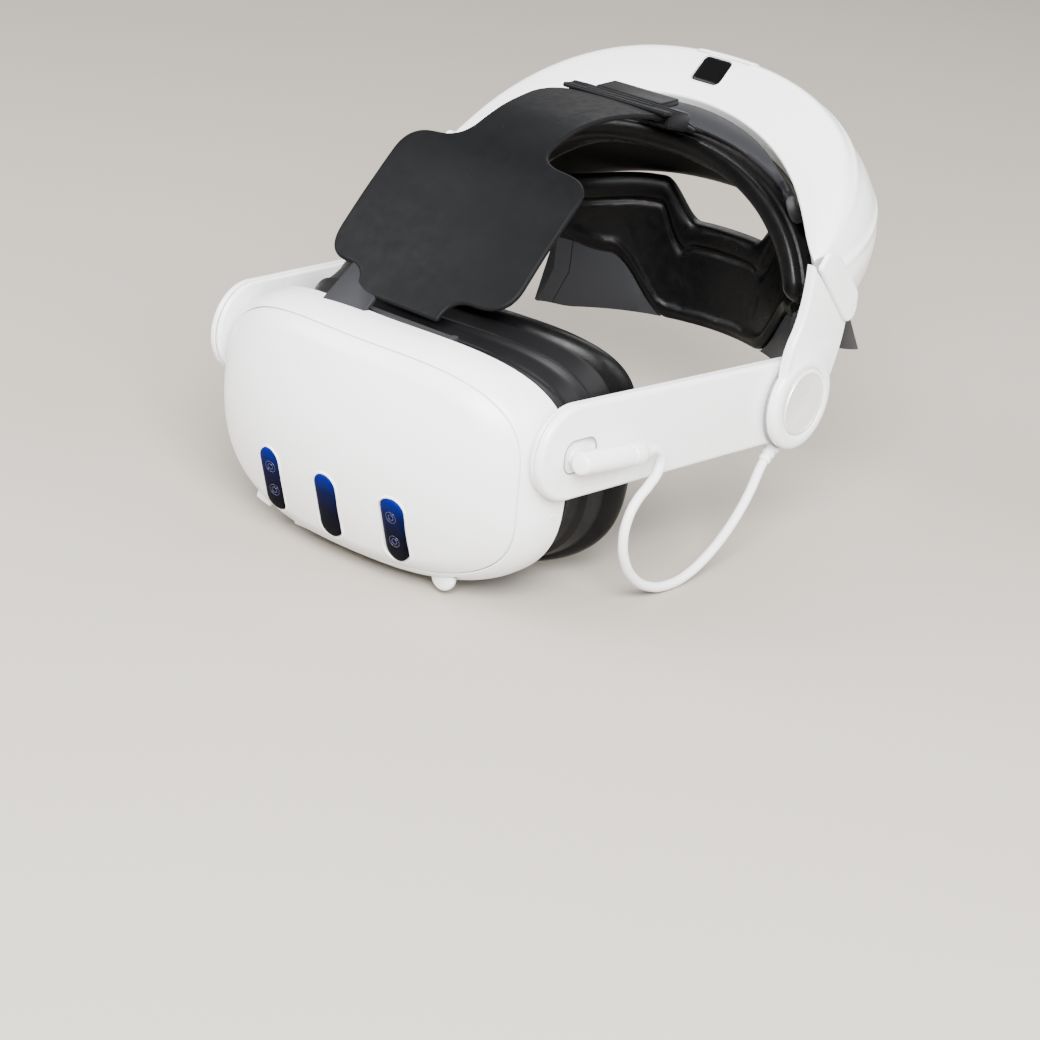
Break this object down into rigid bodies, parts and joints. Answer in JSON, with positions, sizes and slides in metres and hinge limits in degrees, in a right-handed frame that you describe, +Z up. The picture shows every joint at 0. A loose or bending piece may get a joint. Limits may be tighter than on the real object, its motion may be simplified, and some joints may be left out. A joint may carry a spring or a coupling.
{
  "type": "vr headset",
  "caption": "VR headset with a crowned white visor, padded face interface, side arms, a tilting halo battery strap and an over-head panel.",
  "frame": {"origin": "middle of the line between the two hinge drums, the centre of the wearer's head", "axes": "+Z up, +X to the wearer's left, +Y to the back of the head; the visor looks along -Y"},
  "size_m": [0.2048, 0.2809, 0.186],
  "materials": {
    "white_shell": "smooth satin white moulding",
    "white_strap": "soft gloss white moulding",
    "white_lead": "satin white sleeve",
    "dark_grey_plastic": "fine matt dark grey",
    "black_plastic": "fine matt black",
    "charcoal_panel": "satin charcoal coated sheet",
    "black_leather": "soft satin black synthetic leather",
    "tinted_window": "polished, dark blue to black",
    "lens_glass": "clear polished",
    "display_panel": "dark glossy panel",
    "brushed_cap": "pale, brushed in circles",
    "steel": "ground",
    "heat_sink_metal": "bead blasted",
    "circuit_board": "green solder mask",
    "battery_wrap": "shrink sleeve"
  },
  "bodies": {
    "visor": {"front_plate": "white_shell", "visor_shell": "white_shell", "visor_chassis": "black_plastic", "sensor_window_left": "tinted_window", "sensor_window_middle": "tinted_window", "sensor_window_right": "tinted_window", "camera_module_left": "black_plastic", "camera_module_right": "black_plastic", "depth_projector": "black_plastic", "mainboard": "circuit_board", "heat_sink": "heat_sink_metal", "fan_housing": "black_plastic", "visor_battery": "battery_wrap", "guide_rod_upper": "steel", "guide_rod_lower": "steel", "strap_bracket": "dark_grey_plastic", "arm_outer_left": "white_strap", "arm_outer_right": "white_strap", "arm_inner_left": "white_strap", "arm_inner_right": "white_strap", "speaker_left": "black_plastic", "speaker_right": "black_plastic", "arm_lock_pin_left": "black_plastic", "arm_lock_pin_right": "black_plastic", "hinge_pin_left": "steel", "hinge_pin_right": "steel", "lead_gland": "white_lead", "power_plug": "white_strap", "power_lead": "white_lead", "top_panel": "charcoal_panel"},
    "face": {"face_interface": "black_plastic", "face_cushion": "black_leather"},
    "left_eye": {"lens_barrel_left": "black_plastic", "lens_left": "lens_glass", "display_left": "display_panel"},
    "right_eye": {"lens_barrel_right": "black_plastic", "lens_right": "lens_glass", "display_right": "display_panel"},
    "wheel": {"ipd_wheel": "white_shell"},
    "pinion": {"ipd_pinion": "steel"},
    "fan": {"fan_rotor": "black_plastic"},
    "power": {"power_button": "white_shell"},
    "volume": {"volume_rocker": "white_shell"},
    "cradle": {"side_band_left": "white_strap", "side_band_right": "white_strap", "hinge_cap_left": "brushed_cap", "hinge_cap_right": "brushed_cap", "halo_cover": "white_strap", "arch_liner": "dark_grey_plastic", "arch_cushion": "black_leather", "nape_frame": "dark_grey_plastic", "strap_buckle": "dark_grey_plastic"},
    "battery": {"battery_housing": "white_strap", "battery_cell_left": "battery_wrap", "battery_cell_right": "battery_wrap"},
    "latch": {"battery_latch": "white_strap"},
    "status": {"status_button": "black_plastic"},
    "nape": {"nape_pad": "black_leather"},
    "dial": {"fit_dial": "dark_grey_plastic"}
  },
  "joints": [
    {"name": "face_depth", "type": "slide", "parent": "visor", "child": "face", "axis": [0, 1, 0], "range_m": [0, 0.006]},
    {"name": "ipd_wheel_turn", "type": "hinge", "parent": "visor", "child": "wheel", "pos_m": [0.045, -0.1531, -0.0587], "axis": [0, 1, 0], "range_deg": [-26.5, 26.5]},
    {"name": "left_eye_slide", "type": "slide", "parent": "visor", "child": "left_eye", "axis": [1, 0, 0], "range_m": [-0.0032, 0.0032]},
    {"name": "right_eye_slide", "type": "slide", "parent": "visor", "child": "right_eye", "axis": [1, 0, 0], "range_m": [-0.00322, 0.00322]},
    {"name": "ipd_pinion_turn", "type": "hinge", "parent": "visor", "child": "pinion", "pos_m": [0, -0.1534, -0.0457], "axis": [0, 1, 0], "range_deg": [-61.8, 61.8]},
    {"name": "fan_spin", "type": "hinge", "parent": "visor", "child": "fan", "pos_m": [0, -0.1655, 0.014], "axis": [0, 1, 0], "continuous": true},
    {"name": "power_button_press", "type": "slide", "parent": "visor", "child": "power", "axis": [0, 0, 1], "range_m": [0, 0.0008], "stiffness_N_per_m": 400},
    {"name": "volume_rocker_tip", "type": "hinge", "parent": "visor", "child": "volume", "pos_m": [-0.024, -0.1544, -0.0607], "axis": [0, 1, 0], "range_deg": [-3, 3], "stiffness_Nm_per_rad": 0.02},
    {"name": "cradle_tilt", "type": "hinge", "parent": "visor", "child": "cradle", "pos_m": [0, 0, 0], "axis": [1, 0, 0], "range_deg": [-10, 12], "deforming": ["top_panel"]},
    {"name": "battery_release", "type": "slide", "parent": "cradle", "child": "battery", "axis": [0, 1, 0], "range_m": [0, 0.02]},
    {"name": "battery_latch_pull", "type": "slide", "parent": "cradle", "child": "latch", "axis": [0, 0.736, 0.677], "range_m": [0, 0.003], "stiffness_N_per_m": 400},
    {"name": "status_button_press", "type": "slide", "parent": "cradle", "child": "status", "axis": [0, 0.677, -0.736], "range_m": [0, 0.0008], "stiffness_N_per_m": 400},
    {"name": "fit_dial_turn", "type": "hinge", "parent": "cradle", "child": "dial", "pos_m": [0, 0.095, 0.002], "axis": [0, 1, 0], "range_deg": [0, 362]},
    {"name": "nape_slide", "type": "slide", "parent": "cradle", "child": "nape", "axis": [0, -1, 0], "range_m": [0, 0.008]}
  ],
  "couplings": [
    {"joint": "right_eye_slide", "follows": "left_eye_slide", "ratio": -1},
    {"joint": "ipd_wheel_turn", "follows": "left_eye_slide", "rad_per_m": 142.86},
    {"joint": "ipd_pinion_turn", "follows": "left_eye_slide", "rad_per_m": -333.33},
    {"joint": "fit_dial_turn", "follows": "nape_slide", "rad_per_m": 785.39}
  ]
}
